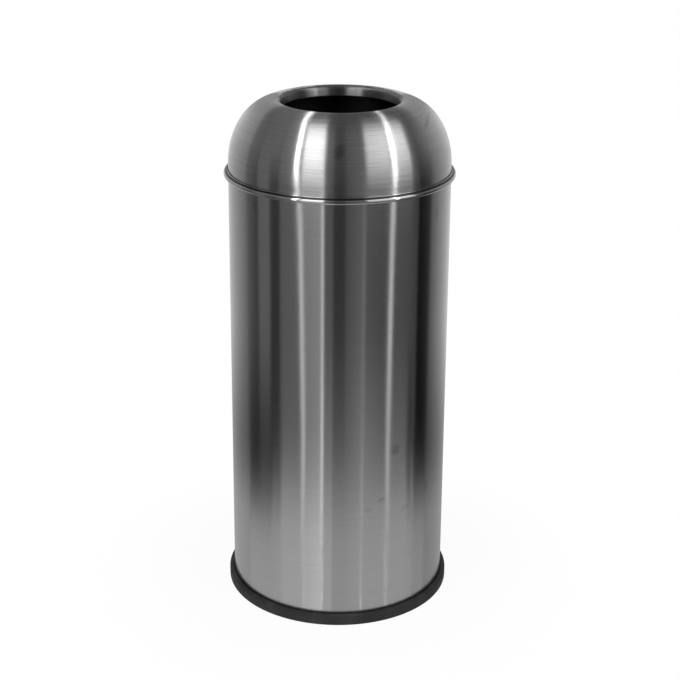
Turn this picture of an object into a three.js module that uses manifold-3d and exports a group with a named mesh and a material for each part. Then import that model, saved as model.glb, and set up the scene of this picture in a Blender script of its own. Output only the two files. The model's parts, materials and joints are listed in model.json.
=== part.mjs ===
// A dome top waste receptacle: a round stainless steel body on a black base ring, a lift-off dome
// with a round mouth, and a galvanised liner bucket with a wire bail standing inside.
// Millimetres, +Z up. The origin is on the floor, on the bin's axis. -Y is the front.
import * as THREE from "three";
import { mergeVertices } from "three/addons/utils/BufferGeometryUtils.js";
import Module from "manifold-3d";

// ---- Driving dimensions ----

const seat = 0.3; // gap left where two pieces rest on each other

// Body
const bodyRadius = 150; // outside of the body
const bodySheet = 0.8; // stainless sheet of the body
const rimHeight = 605; // middle of the rolled rim above the floor
const rimRoll = 3.1; // radius of the roll, to the middle of the sheet
const rimRollEnd = -128; // the roll stops here, short of the wall, in degrees
const seamWidth = 10; // lap seam that closes the tube, inside its back
const seamSink = 0.4; // the lap is drawn this deep into the wall that it is welded to
const seamMargin = 6; // the lap stops this far from the base plate and from the collar

// Base ring and base plate
const ringHeight = 15.5; // black ring outside the foot of the body
const ringWall = 6.7; // its wall outside the body
const ringFloor = 3.2; // its thickness under the sheet edges
const ringInnerHeight = 10; // the wall inside the plate's flange
const ringInnerWall = 4;
const ringSoftEdge = 3.4; // rounding of its top outer edge
const ringTopFall = 0.3; // its top falls this much towards the body
const ringFootEdge = 1.5; // chamfer at the floor
const plateSheet = 1.0; // galvanised sheet of the base plate
const plateHeight = 19; // middle of the plate above the floor
const plateBend = 3; // bend between the plate and its flange
const plateRibRadius = 95; // stiffening step pressed into the plate
const plateRibDrop = 3;
const plateRibRun = 7;

// Dome
const domeSheet = 0.8; // spun stainless sheet
const footRoll = 1.0; // small roll round the dome's lower edge, to the middle of the sheet
const domeSkirt = 6.5; // upright part between the foot roll and the curve
const domeRise = 87.3; // height of the curve
const domeFullness = 2.05; // 2 is a plain ellipse, more is fuller in the shoulder
const crownRadius = 85.6; // circle of the highest point, to the middle of the sheet
const crownRoll = 6; // curl from the crown down into the mouth
const mouthSlope = 78; // steepness of the mouth's wall, in degrees
const mouthWall = 7; // length of that wall
const mouthHem = 1.2; // hem turned back under the mouth's edge

// Collar that centres the dome in the body
const collarSheet = 0.8;
const collarDepth = 35; // how far it reaches into the body, below the rim
const collarLap = 5; // upright part that is spot-welded inside the dome's skirt
const collarPlay = 0.7; // running clearance in the body
const collarLeadIn = 3.5; // tapered lower edge
const collarTaper = 1.0;

// Liner bucket
const linerSheet = 0.6;
const linerTaper = 3.4; // the wall is this much narrower at its foot
const linerHeadroom = 21.5; // rim of the liner below the collar
const wireRadius = 2.3; // wire inside the liner's rim
const linerRollEnd = -132; // in degrees
const flangeHeight = 8; // the liner's bottom is turned up round its wall
const swageCount = 2; // stiffening beads pressed outwards into the wall
const swageDepth = 2.2;
const swageHeight = 11;

// Ears, rivets and bail
const earGap = 3.8; // between the ear and the liner's rolled rim
const earHeight = 18;
const earSheet = 1.6;
const earStandOff = 6.4; // room behind the bridge for the end of the bail
const bridgeHalfWidth = 7.5;
const footLength = 13; // each foot of the ear, along the wall
const rivetRadius = 2;
const rivetHeadRadius = 3.8;
const rivetHeadHeight = 1.4;
const rivetHeadFlat = 2.7; // radius of the flat top of a head
const rivetHolePlay = 0.15;
const bailWire = 2; // radius of the bail's wire
const bailPlay = 1.6; // between the bail, held level, and the body
const pivotPlay = 0.4; // round the wire in the ear's hole
const bailSideGap = 2; // between the ear's bridge and the bail
const bailBend = 3.6; // bend where the bail turns into the ear
const bailTail = 1.4; // how far the wire reaches behind the bridge
const bailHeadLip = 1; // the head upset on the wire's end is this much wider than the ear's hole
const bailHeadDepth = 1.4;

// Facets
const aroundOuter = 48; // round the body and the dome
const aroundLiner = 36; // round the liner
const aroundWire = 8;
const aroundRivet = 12; // also round the holes

const degrees = Math.PI / 180;

// ---- Colours ----

const stainless = new THREE.MeshStandardMaterial({ color: 0x9c9b9a, roughness: 0.34, metalness: 1 });
const galvanised = new THREE.MeshStandardMaterial({ color: 0x9ba0a3, roughness: 0.5, metalness: 1 });
const rubber = new THREE.MeshStandardMaterial({ color: 0x262626, roughness: 0.7, metalness: 0 });
const wireSteel = new THREE.MeshStandardMaterial({ color: 0xa8abad, roughness: 0.35, metalness: 1 });

// ---- Heights and radii that several pieces share ----

const bodyWall = bodyRadius - bodySheet / 2; // middle of the body's sheet
const bodyBore = bodyRadius - bodySheet; // inside of the body
const rimTop = rimHeight + rimRoll + bodySheet / 2;
const sheetFoot = ringFloor + seat; // where the body and the base plate stand in the ring
const domeWall = bodyRadius - domeSheet / 2;
// The two rolls, the dome's and the body's, rest on each other.
const rollsApart = rimRoll + bodySheet / 2 + seat + footRoll + domeSheet / 2;
const rollsAside = bodyWall + rimRoll - (domeWall + footRoll);
const footCentre = rimHeight + Math.sqrt(rollsApart ** 2 - rollsAside ** 2);
const springHeight = footCentre + domeSkirt; // where the dome starts to curve
const crownHeight = springHeight + domeRise;
const collarFoot = rimTop - collarDepth;
const plateTop = plateHeight + plateSheet / 2;
const linerFloor = plateTop + seat + linerSheet / 2;
const linerRim = collarFoot - linerHeadroom; // middle of the liner's rim
const linerWallFoot = linerFloor + linerSheet / 2 + seat;
const linerRoll = wireRadius + seat + linerSheet / 2; // radius of the liner's rim, to the middle of the sheet
const pivotHeight = linerRim - linerRoll - linerSheet / 2 - earGap - earHeight / 2;

// The liner is as wide as the body lets it be. From the body inwards come the bail, the ear's bridge,
// the room behind the bridge, and the liner's wall.
const bailReach = bodyBore * Math.cos(Math.PI / aroundOuter) - bailPlay - bailWire; // pivot to bow
const bailHalfWidth = bailReach - bailBend;
const bridgeFace = bailHalfWidth - bailWire - bailSideGap; // outside of the bridge
const earBack = bridgeFace - earSheet - earStandOff; // the feet lie against the wall here
const wallAtPivot = earBack - seat - linerSheet / 2; // middle of the liner's sheet
const linerSlope = linerTaper / (linerRim - linerWallFoot);

// Middle of the liner's sheet at a height: the wall narrows towards its foot.
function linerWall(height) {
  return wallAtPivot - linerSlope * (pivotHeight - height);
}

// ---- Sheet metal turned about the axis ----

const at = (radius, height) => new THREE.Vector2(radius, height);

// Points on an arc in the plane of radius and height. Angles are in degrees.
function arc(centre, radius, from, to, steps) {
  return Array.from({ length: steps + 1 }, (_, i) => {
    const angle = (from + ((to - from) * i) / steps) * degrees;
    return at(centre.x + radius * Math.cos(angle), centre.y + radius * Math.sin(angle));
  });
}

// The outline of a sheet: its middle line, moved by half the thickness to each side.
function sheetOutline(middle, thickness) {
  const normals = middle.slice(1).map((p, i) => {
    const along = p.clone().sub(middle[i]).normalize();
    return at(-along.y, along.x);
  });
  const moved = (side) =>
    middle.map((p, i) => {
      const before = normals[Math.max(i - 1, 0)];
      const after = normals[Math.min(i, normals.length - 1)];
      const mean = before.clone().add(after).normalize();
      return p.clone().addScaledVector(mean, (side * thickness) / 2 / mean.dot(after));
    });
  return [...moved(1), ...moved(-1).reverse()];
}

// Turns an outline about the Z axis. An outline off the axis is closed on itself.
function revolve(outline, around) {
  const ring = outline.map((p) => p.clone());
  const area = ring.reduce((sum, p, i) => sum + p.cross(ring[(i + 1) % ring.length]), 0);
  if (area < 0) ring.reverse();
  const onAxis = ring.filter((p) => Math.abs(p.x) < 1e-6).length >= 2;
  if (onAxis) {
    // Start just after the stretch that lies on the axis, so that both ends are on it.
    while (!(Math.abs(ring[0].x) < 1e-6 && Math.abs(ring.at(-1).x) < 1e-6)) ring.push(ring.shift());
  } else {
    ring.push(ring[0].clone());
  }
  return new THREE.LatheGeometry(ring, around).rotateX(Math.PI / 2);
}

const sheetRing = (middle, thickness, around) => revolve(sheetOutline(middle, thickness), around);

// ---- Solids that are joined or cut ----

const manifold = await Module();
manifold.setup();

function toSolid(geometry) {
  const bare = geometry.index ? geometry.toNonIndexed() : geometry.clone();
  bare.deleteAttribute("normal");
  bare.deleteAttribute("uv");
  const merged = mergeVertices(bare, 1e-4);
  const corners = merged.index.array;
  const kept = [];
  for (let i = 0; i < corners.length; i += 3) {
    const [a, b, c] = corners.slice(i, i + 3);
    if (a !== b && b !== c && c !== a) kept.push(a, b, c);
  }
  const vertProperties = merged.attributes.position.array;
  const mesh = new manifold.Mesh({ numProp: 3, vertProperties, triVerts: new Uint32Array(kept) });
  return new manifold.Manifold(mesh);
}

function toGeometry(solid) {
  const { vertProperties, triVerts } = solid.getMesh();
  const geometry = new THREE.BufferGeometry();
  geometry.setAttribute("position", new THREE.BufferAttribute(vertProperties, 3));
  geometry.setIndex(new THREE.BufferAttribute(triVerts, 1));
  geometry.computeVertexNormals();
  return geometry;
}

function joined(first, ...others) {
  return toGeometry(others.reduce((solid, other) => solid.add(toSolid(other)), toSolid(first)));
}

function cut(first, ...tools) {
  return toGeometry(tools.reduce((solid, tool) => solid.subtract(toSolid(tool)), toSolid(first)));
}

// A round bar along X about a middle point on the X axis or above it.
function barAlongX(radius, length, x, z) {
  const bar = new THREE.CylinderGeometry(radius, radius, length, aroundRivet);
  return bar.rotateZ(Math.PI / 2).translate(x, 0, z);
}

// ---- The body and its base ----

// The tube of the body, with its upper edge rolled outwards and a lap seam inside its back.
function bodyShell() {
  const rollCentre = at(bodyWall + rimRoll, rimHeight);
  const middle = [at(bodyWall, sheetFoot), ...arc(rollCentre, rimRoll, 180, rimRollEnd, 8)];
  const seamFoot = plateTop + seamMargin;
  const seamTop = collarFoot - seamMargin;
  const seam = new THREE.BoxGeometry(seamWidth, bodySheet + seamSink, seamTop - seamFoot);
  seam.translate(0, bodyBore + (seamSink - bodySheet) / 2, (seamFoot + seamTop) / 2);
  return joined(sheetRing(middle, bodySheet, aroundOuter), seam);
}

// A pressed plate with a step for stiffness and a flange turned down inside the body.
function basePlate() {
  const flange = bodyBore - seat - plateSheet / 2;
  const bend = at(flange - plateBend, plateHeight - plateBend);
  const middle = [
    at(0, plateHeight - plateRibDrop),
    at(plateRibRadius - plateRibRun, plateHeight - plateRibDrop),
    at(plateRibRadius, plateHeight),
    ...arc(bend, plateBend, 90, 0, 2),
    at(flange, sheetFoot),
  ];
  return sheetRing(middle, plateSheet, aroundOuter);
}

// The black ring: a channel that grips the edges of the body and of the base plate.
function baseRing() {
  const outside = bodyRadius + seat + ringWall;
  const grooveOut = bodyRadius + seat;
  const grooveIn = bodyBore - seat - plateSheet - seat;
  const inside = grooveIn - ringInnerWall;
  const edge = at(outside - ringSoftEdge, ringHeight - ringSoftEdge);
  const outline = [
    at(inside, 0),
    at(outside - ringFootEdge, 0),
    at(outside, ringFootEdge),
    ...arc(edge, ringSoftEdge, 0, 80, 3),
    at(grooveOut, ringHeight - ringTopFall),
    at(grooveOut, ringFloor),
    at(grooveIn, ringFloor),
    at(grooveIn, ringInnerHeight),
    at(inside, ringInnerHeight),
  ];
  return revolve(outline, aroundOuter);
}

// ---- The dome ----

// The curve of the dome from its spring line to its crown: a quarter of a superellipse.
function domeCurve(steps) {
  const run = domeWall - crownRadius;
  return Array.from({ length: steps }, (_, i) => {
    const angle = ((i + 1) / steps) * (Math.PI / 2);
    const inward = 1 - Math.max(Math.cos(angle), 0) ** (2 / domeFullness);
    return at(domeWall - run * inward, springHeight + domeRise * Math.sin(angle) ** (2 / domeFullness));
  });
}

// One spun sheet: a rolled foot, the dome's curve, the crown, and the mouth with its hem.
function domeShell() {
  const foot = arc(at(domeWall + footRoll, footCentre), footRoll, 40, -180, 4);
  const crown = at(crownRadius, crownHeight - crownRoll);
  const curl = arc(crown, crownRoll, 90, 90 + mouthSlope, 3).slice(1);
  const lip = curl.at(-1).clone();
  lip.x -= mouthWall * Math.cos(mouthSlope * degrees);
  lip.y -= mouthWall * Math.sin(mouthSlope * degrees);
  const hemAngle = 90 + mouthSlope;
  const hemCentre = at(
    lip.x - mouthHem * Math.cos(hemAngle * degrees),
    lip.y - mouthHem * Math.sin(hemAngle * degrees),
  );
  const hem = arc(hemCentre, mouthHem, hemAngle, hemAngle + 190, 3);
  const middle = [...foot, at(domeWall, springHeight), ...domeCurve(8), ...curl, ...hem];
  return sheetRing(middle, domeSheet, aroundOuter);
}

// The band inside the dome's foot. Its lower part slides into the body and centres the dome.
function domeCollar() {
  const lapRadius = domeWall - domeSheet / 2 - seat - collarSheet / 2;
  const guideRadius = bodyBore - collarPlay - collarSheet / 2;
  const middle = [
    at(lapRadius, footCentre + collarLap),
    at(lapRadius, footCentre),
    at(guideRadius, rimTop - collarSheet),
    at(guideRadius, collarFoot + collarLeadIn),
    at(guideRadius - collarTaper, collarFoot),
  ];
  return sheetRing(middle, collarSheet, aroundOuter);
}

// ---- The liner ----

const rimWireRadius = linerWall(linerRim) + linerRoll;

// The two rivets of an ear sit in the middle of its feet, as angles round the axis from the pivot.
const rivetTurns = [-1, 1].map((side) => (side * (bridgeHalfWidth + earSheet + footLength / 2)) / earBack);

// A hole for a rivet, through the ear's foot and the liner's wall on the +X side.
function rivetHole() {
  const depth = 2 * (earSheet + linerSheet + earStandOff);
  return barAlongX(rivetRadius + rivetHolePlay, depth, earBack, pivotHeight);
}

// The liner's wall, with its stiffening beads, rolled round a wire at its rim. It has four rivet holes.
function linerShell() {
  const rollCentre = at(rimWireRadius, linerRim);
  const swages = Array.from({ length: swageCount }, (_, i) => {
    const height = linerWallFoot + ((i + 1) * (linerRim - linerWallFoot)) / (swageCount + 1);
    return [-1, 0, 1].map((step) =>
      at(linerWall(height) + (step === 0 ? swageDepth : 0), height + (step * swageHeight) / 2),
    );
  });
  const middle = [
    at(linerWall(linerWallFoot), linerWallFoot),
    ...swages.flat(),
    ...arc(rollCentre, linerRoll, 180, linerRollEnd, 6),
  ];
  const holes = [0, Math.PI].flatMap((side) => rivetTurns.map((turn) => rivetHole().rotateZ(side + turn)));
  return cut(sheetRing(middle, linerSheet, aroundLiner), ...holes);
}

// The liner's bottom: a disc with its edge turned up round the wall.
function linerBottom() {
  const flange = linerWall(linerWallFoot) + linerSheet + seat;
  const middle = [
    at(0, linerFloor),
    at(flange - linerSheet, linerFloor),
    at(flange, linerFloor + linerSheet),
    at(flange + linerSlope * flangeHeight, linerFloor + flangeHeight),
  ];
  return sheetRing(middle, linerSheet, aroundLiner);
}

// The round wire that stiffens the liner's rim.
function rimWire() {
  const section = arc(at(rimWireRadius, linerRim), wireRadius, 0, 360, aroundWire).slice(0, -1);
  return revolve(section, aroundLiner);
}

// ---- Ears and rivets ----

// A strip bent over the pivot like a bridge, following the wall at its feet. It is drawn on the +X side.
function ear() {
  const footEnd = (bridgeHalfWidth + earSheet + footLength) / earBack;
  const footStart = (bridgeHalfWidth + earSheet) / earBack;
  const onWall = (extra, turn) => {
    const radius = earBack + extra;
    return at(radius * Math.cos(turn), radius * Math.sin(turn));
  };
  const footLine = (extra, from, to) =>
    [0, 0.5, 1].map((share) => onWall(extra, from + (to - from) * share));
  const inner = bridgeFace - earSheet;
  const half = [
    ...footLine(0, footEnd, footStart),
    at(inner, bridgeHalfWidth),
  ];
  const outerHalf = [
    at(bridgeFace, bridgeHalfWidth + earSheet / 2),
    ...footLine(earSheet, footStart + earSheet / earBack, footEnd),
  ];
  const mirrored = (points) => points.map((p) => at(p.x, -p.y)).reverse();
  const outline = [...half, ...mirrored(half), ...mirrored(outerHalf), ...outerHalf];
  const settings = { depth: earHeight, bevelEnabled: false };
  const strip = new THREE.ExtrudeGeometry(new THREE.Shape(outline), settings);
  strip.translate(0, 0, pivotHeight - earHeight / 2);
  const rivetHoles = rivetTurns.map((turn) => rivetHole().rotateZ(turn));
  const pivotHole = barAlongX(bailWire + pivotPlay, 3 * earSheet, bridgeFace - earSheet / 2, pivotHeight);
  return cut(strip, ...rivetHoles, pivotHole);
}

// A rivet along +X, from its head inside the liner to the one on the ear's foot. The inner head is
// flat and the wall is hollow there, so the head's edge is what meets the wall.
function rivet() {
  const bore = (wallAtPivot - linerSheet / 2) * Math.cos(Math.PI / aroundLiner);
  const inside = Math.sqrt(bore ** 2 - rivetHeadRadius ** 2) - seat;
  const outside = earBack + earSheet + seat;
  const outline = [
    at(0, inside - rivetHeadHeight),
    at(rivetHeadFlat, inside - rivetHeadHeight),
    at(rivetHeadRadius, inside),
    at(rivetRadius, inside),
    at(rivetRadius, outside),
    at(rivetHeadRadius, outside),
    at(rivetHeadFlat, outside + rivetHeadHeight),
    at(0, outside + rivetHeadHeight),
  ];
  return revolve(outline, aroundRivet).rotateY(Math.PI / 2);
}

// ---- The bail ----

// The bail hangs down in front until its bow meets the liner's wall.
function restingTilt() {
  let tilt = 0;
  for (let i = 0; i < 20; i += 1) {
    const wall = linerWall(pivotHeight - bailReach * Math.sin(tilt)) + linerSheet / 2;
    tilt = Math.acos((wall + seat + bailWire) / bailReach);
  }
  return tilt;
}

// A wire bent in one plane. Its stations are kept as they are, so that tight bends get their own.
class BentWire extends THREE.Curve {
  constructor(stations) {
    super();
    this.stations = stations;
  }
  getPoint(t) {
    const place = t * (this.stations.length - 1);
    const i = Math.min(Math.floor(place), this.stations.length - 2);
    return this.stations[i].clone().lerp(this.stations[i + 1], place - i);
  }
  getPointAt(u) {
    return this.getPoint(u);
  }
  getTangentAt(u) {
    const step = 0.5 / (this.stations.length - 1);
    return this.getPoint(Math.min(u + step, 1)).sub(this.getPoint(Math.max(u - step, 0))).normalize();
  }
}

// Drawn flat, with the pivots on the X axis and the bow towards -Y. Both ends are upset into heads.
function bail() {
  const bendCentre = at(bailHalfWidth - bailBend, bailBend);
  const end = at(bridgeFace - earSheet - bailTail, 0);
  const bend = arc(bendCentre, bailBend, -90, 0, 4);
  const bow = arc(at(0, bailBend), bailHalfWidth, 0, 90, 20).slice(1);
  const half = [end, ...bend, ...bow].map((p) => new THREE.Vector3(p.x, -p.y, 0));
  const otherHalf = half.slice(0, -1).reverse().map((p) => new THREE.Vector3(-p.x, p.y, 0));
  const path = new BentWire([...half, ...otherHalf]);
  const section = new THREE.Shape(arc(at(0, 0), bailWire, 0, 360, aroundWire).slice(0, -1));
  const wire = new THREE.ExtrudeGeometry(section, { steps: path.stations.length - 1, extrudePath: path });
  const headRadius = bailWire + pivotPlay + bailHeadLip;
  const heads = [-1, 1].map((side) => barAlongX(headRadius, bailHeadDepth, side * end.x, 0));
  return joined(wire, ...heads);
}

// ---- Assembly ----

function named(name, geometry, material) {
  const mesh = new THREE.Mesh(geometry, material);
  mesh.name = name;
  return mesh;
}

const bin = new THREE.Group();

const body = new THREE.Group();
body.add(
  named("body_shell", bodyShell(), stainless),
  named("base_plate", basePlate(), galvanised),
  named("base_ring", baseRing(), rubber),
);

const dome = new THREE.Group();
dome.add(named("dome_shell", domeShell(), stainless), named("dome_collar", domeCollar(), galvanised));

const liner = new THREE.Group();
liner.add(
  named("liner_wall", linerShell(), galvanised),
  named("liner_bottom", linerBottom(), galvanised),
  named("liner_rim_wire", rimWire(), wireSteel),
);
[
  ["right", 0],
  ["left", Math.PI],
].forEach(([side, turn]) => {
  const earMesh = named(`liner_ear_${side}`, ear(), galvanised);
  earMesh.rotation.z = turn;
  liner.add(earMesh);
  rivetTurns.forEach((rivetTurn, i) => {
    const rivetMesh = named(`ear_rivet_${side}_${i + 1}`, rivet(), wireSteel);
    rivetMesh.rotation.z = turn + rivetTurn;
    rivetMesh.position.z = pivotHeight;
    liner.add(rivetMesh);
  });
});

const bailMesh = named("bail", bail(), wireSteel);
bailMesh.position.z = pivotHeight;
bailMesh.rotation.x = restingTilt();
liner.add(bailMesh);

bin.add(body, dome, liner);

export default bin;
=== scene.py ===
# %% [markdown]
# # A dome top waste bin
#
# The bin is a tube of brushed stainless sheet that stands in a black ring. A spun dome with a round
# mouth lifts off its top, and a galvanised liner bucket with a wire bail stands inside.
#
# Nearly every part of it was turned: rolled, spun on a lathe or moulded round. So nearly every piece
# here is half a cross-section that is drawn as a line and then turned about the Z axis.
#
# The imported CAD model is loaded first. It is the fixed frame: every piece is drawn in metres at the
# place that the CAD gives it, with the origin on the floor, on the bin's axis, and -Y at the front.

# %% Load the frame
import json
import math

import bmesh
import bpy
from mathutils import Matrix, Vector


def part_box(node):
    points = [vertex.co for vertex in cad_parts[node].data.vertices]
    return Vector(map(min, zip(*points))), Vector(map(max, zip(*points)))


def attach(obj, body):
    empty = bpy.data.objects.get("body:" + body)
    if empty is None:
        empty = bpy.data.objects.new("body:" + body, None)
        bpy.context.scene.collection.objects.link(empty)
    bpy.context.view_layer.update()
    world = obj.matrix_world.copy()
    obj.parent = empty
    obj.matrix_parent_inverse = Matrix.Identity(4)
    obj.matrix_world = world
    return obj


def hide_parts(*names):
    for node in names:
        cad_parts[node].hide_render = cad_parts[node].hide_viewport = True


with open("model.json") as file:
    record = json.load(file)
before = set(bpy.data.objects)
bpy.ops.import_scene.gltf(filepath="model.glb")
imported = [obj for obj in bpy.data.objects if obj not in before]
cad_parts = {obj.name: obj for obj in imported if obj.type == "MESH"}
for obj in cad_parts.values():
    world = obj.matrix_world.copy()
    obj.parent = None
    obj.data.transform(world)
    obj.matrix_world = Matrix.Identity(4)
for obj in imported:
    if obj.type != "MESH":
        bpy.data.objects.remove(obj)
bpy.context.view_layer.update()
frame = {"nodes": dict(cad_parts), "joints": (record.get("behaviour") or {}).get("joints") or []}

# %% [markdown]
# ## Sizes
#
# A sheet is drawn by the middle of its thickness, as in the CAD source. Millimetres are easier to read,
# so each value is written in them and multiplied by MM once. Heights that the CAD gives exactly are
# taken from its boxes instead.

# %% Sizes that several pieces share
MM = 0.001

BODY_WALL = 149.6 * MM  # middle of the body's sheet
BODY_SHEET = 0.8 * MM
BODY_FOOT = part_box("body_shell")[0].z
RIM_HEIGHT = 605 * MM  # middle of the rolled rim
RIM_ROLL = 3.1 * MM
PIVOT = Vector(next(j for j in frame["joints"] if j["name"] == "bail_swing")["pos_m"])

print("the tube stands", round(BODY_FOOT / MM, 2), "mm above the floor")

# %% [markdown]
# ## The camera
#
# The photographer stood about two metres away and looked down at the bin, so the mouth
# shows as a flat ellipse and the foot as a deeper one. These values were fitted to the outline, the rims
# and the mouth. The small shift keeps the bin in the middle of the picture.

# %% Camera
CAMERA_PLACE = Vector((0, -2.0753, 1.1619))
CAMERA_PITCH = 19.21  # degrees below the horizon
CAMERA_ROLL = 0.345
FOCAL_SHARE = 1591.7 / 680  # focal length over the picture's width

camera_data = bpy.data.cameras.new("camera")
camera_data.sensor_width = 36
camera_data.lens = FOCAL_SHARE * camera_data.sensor_width
camera_data.shift_x = 0.0014
camera_data.shift_y = -0.0773
camera_data.clip_end = 30
camera = bpy.data.objects.new("camera", camera_data)
bpy.context.scene.collection.objects.link(camera)
camera.matrix_world = (
    Matrix.Translation(CAMERA_PLACE)
    @ Matrix.Rotation(math.radians(90 - CAMERA_PITCH), 4, "X")
    @ Matrix.Rotation(math.radians(CAMERA_ROLL), 4, "Z")
)
bpy.context.scene.camera = camera
bpy.context.scene.view_settings.view_transform = "Standard"
print("lens", round(camera_data.lens, 1), "mm")

# %% [markdown]
# ## Drawing and turning a section
#
# A cross-section could be typed as a list of points. It is drawn with a pen instead, as a metal spinner
# would describe it: straight to here, then round this centre. The pen is one vertex. Extruding it draws a
# straight line, and spinning it about a centre draws an arc. At the end the whole line is spun once
# about the Z axis, and where the ends of the turn meet they are merged.


# %% The pen
AROUND = 192  # steps of a full turn
WELD = 0.002 * MM


class Pen:
    """A line in the plane of radius and height, which is then turned about Z."""

    def __init__(self, radius, height):
        self.bm = bmesh.new()
        self.tip = self.bm.verts.new((radius, 0, height))

    def to(self, radius, height):
        """A straight line."""
        self.tip = bmesh.ops.extrude_vert_indiv(self.bm, verts=[self.tip])["verts"][0]
        self.tip.co = (radius, 0, height)
        return self

    def round(self, radius, height, degrees, steps=8):
        """An arc round a centre. Positive degrees turn from outwards to upwards."""
        spun = bmesh.ops.spin(
            self.bm, geom=[self.tip], cent=(radius, 0, height), axis=(0, -1, 0),
            angle=math.radians(degrees), steps=steps,
        )
        self.tip = next(v for v in spun["geom_last"] if isinstance(v, bmesh.types.BMVert))
        return self

    def turn(self, degrees=360, steps=AROUND, start=0):
        """Spins the line about Z. A part turn begins at an angle from +X."""
        bm = self.bm
        first = Matrix.Rotation(math.radians(start), 3, "Z")
        bmesh.ops.rotate(bm, verts=bm.verts, cent=(0, 0, 0), matrix=first)
        bmesh.ops.spin(
            bm, geom=bm.verts[:] + bm.edges[:], cent=(0, 0, 0), axis=(0, 0, 1),
            angle=math.radians(degrees), steps=steps, use_merge=degrees == 360,
        )
        bmesh.ops.remove_doubles(bm, verts=bm.verts, dist=WELD)
        bmesh.ops.recalc_face_normals(bm, faces=bm.faces)
        return bm


print("a full turn takes", AROUND, "steps")

# %% [markdown]
# A finished section becomes an object. Sheet metal gets its thickness from Solidify, half to each side
# of the line, and keeps it in its mesh. Faces are shaded smooth, except across edges that are sharper
# than a given angle, so a rolled edge looks round and a cut edge looks cut. Points that face the axis
# below the mouth, and the dome's underside, get 1 in an attribute called inside. There the steel is
# rougher, for an unground, dull sheet, and darker, partly as painted shade.


# %% From section to piece
DOME_FROM, MOUTH_FROM = 620 * MM, 690 * MM  # above the latter, what faces the axis is the mouth
UNDER = -0.3  # a normal that points further down is the underside of the dome
SHARP = 35  # degrees between two faces


def piece(bm, name, body, finish, replaces=(), sheet=None):
    """Makes the object, gives it its finish and puts it on its body of the frame."""
    mesh = bpy.data.meshes.new(name)
    bm.to_mesh(mesh)
    bm.free()
    made = bpy.data.objects.new(name, mesh)
    bpy.context.scene.collection.objects.link(made)
    if sheet:
        thicken = made.modifiers.new("sheet", "SOLIDIFY")
        thicken.thickness = sheet
        thicken.offset = 0
        thicken.use_even_offset = True
        ready = made.evaluated_get(bpy.context.evaluated_depsgraph_get())
        solid = bpy.data.meshes.new_from_object(ready)
        made.modifiers.clear()
        made.data = solid
        bpy.data.meshes.remove(mesh)
        solid.name = name
    made.data.shade_smooth()
    made.data.set_sharp_from_angle(angle=math.radians(SHARP))
    inside = made.data.attributes.new("inside", "FLOAT", "POINT")
    for vertex in made.data.vertices:
        inwards = vertex.normal.xy.dot(vertex.co.xy) < 0 and vertex.co.z < MOUTH_FROM
        under = vertex.normal.z < UNDER and vertex.co.z > DOME_FROM
        inside.data[vertex.index].value = float(inwards or under)
    made.data.materials.clear()
    made.data.materials.append(finish)
    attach(made, body)
    if replaces:
        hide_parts(*replaces)
    print(f"{name}: {len(made.data.polygons)} faces")


# %% [markdown]
# ## Writing materials as expressions
#
# A material's maths is easier to read as `0.3 + 0.1 * grain` than as a chain of boxes. `Wire` holds an
# output socket, and each operator on it adds one Math node. Every other node comes from `Nodes.add`,
# which takes the node's type, its settings, and what goes into its sockets.


# %% Sockets in expressions
class Wire:
    def __init__(self, nodes, socket):
        self.nodes, self.socket = nodes, socket

    def math(self, operation, a, b=0.0):
        return self.nodes.add("ShaderNodeMath", {"operation": operation}, {0: a, 1: b})

    def __add__(self, other):
        return self.math("ADD", self, other)

    __radd__ = __add__

    def __sub__(self, other):
        return self.math("SUBTRACT", self, other)

    def __rsub__(self, other):
        return self.math("SUBTRACT", other, self)

    def __mul__(self, other):
        return self.math("MULTIPLY", self, other)

    __rmul__ = __mul__

    def largest(self, other):
        return self.math("MAXIMUM", self, other)


class Nodes:
    """The node tree of a material or of the world."""

    def __init__(self, owner):
        owner.use_nodes = True
        self.tree = owner.node_tree
        self.tree.nodes.clear()

    def add(self, kind, settings=None, sockets=None, out=0):
        """Adds a node. Its settings go first, because they decide which sockets it has."""
        node = self.tree.nodes.new(kind)
        for name, value in (settings or {}).items():
            setattr(node, name, value)
        for name, value in (sockets or {}).items():
            if isinstance(value, Wire):
                self.tree.links.new(value.socket, node.inputs[name])
            else:
                node.inputs[name].default_value = value
        return Wire(self, node.outputs[out]) if node.outputs else None

    def mix(self, factor, a, b):
        """Blends two colours."""
        return self.add("ShaderNodeMix", {"data_type": "RGBA"}, {0: factor, 6: a, 7: b}, out=2)

    def span(self, value, low, high, low_to=0.0, high_to=1.0):
        """A value carried smoothly from one range to another, and held inside it."""
        return self.add(
            "ShaderNodeMapRange", {"interpolation_type": "SMOOTHSTEP"},
            {0: value, 1: low, 2: high, 3: low_to, 4: high_to},
        )


def grey(value):
    return (value, value, value, 1)


# %% [markdown]
# ## Brushed stainless
#
# The sheet is ground with a belt, so fine scratches run round the bin. They blur reflections up and
# down and leave them sharp from side to side, which is why bands of light run the full height of the
# body. In the shader that is anisotropy.
#
# The scratches themselves are noise that is squeezed hard along Z. On the dome, rings round the axis
# are needed on the flat crown too, where Z hardly changes. So the noise is four-dimensional, with the
# distance from the axis as its fourth coordinate: it changes fast along height and along radius, and
# slowly round the bin.


# %% Grain round the axis
def length_in(nodes, place, axes):
    """How long a vector is along some of the axes."""
    kept = nodes.add("ShaderNodeVectorMath", {"operation": "MULTIPLY"}, {0: place, 1: axes})
    return nodes.add("ShaderNodeVectorMath", {"operation": "LENGTH"}, {0: kept}, out="Value")


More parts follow.
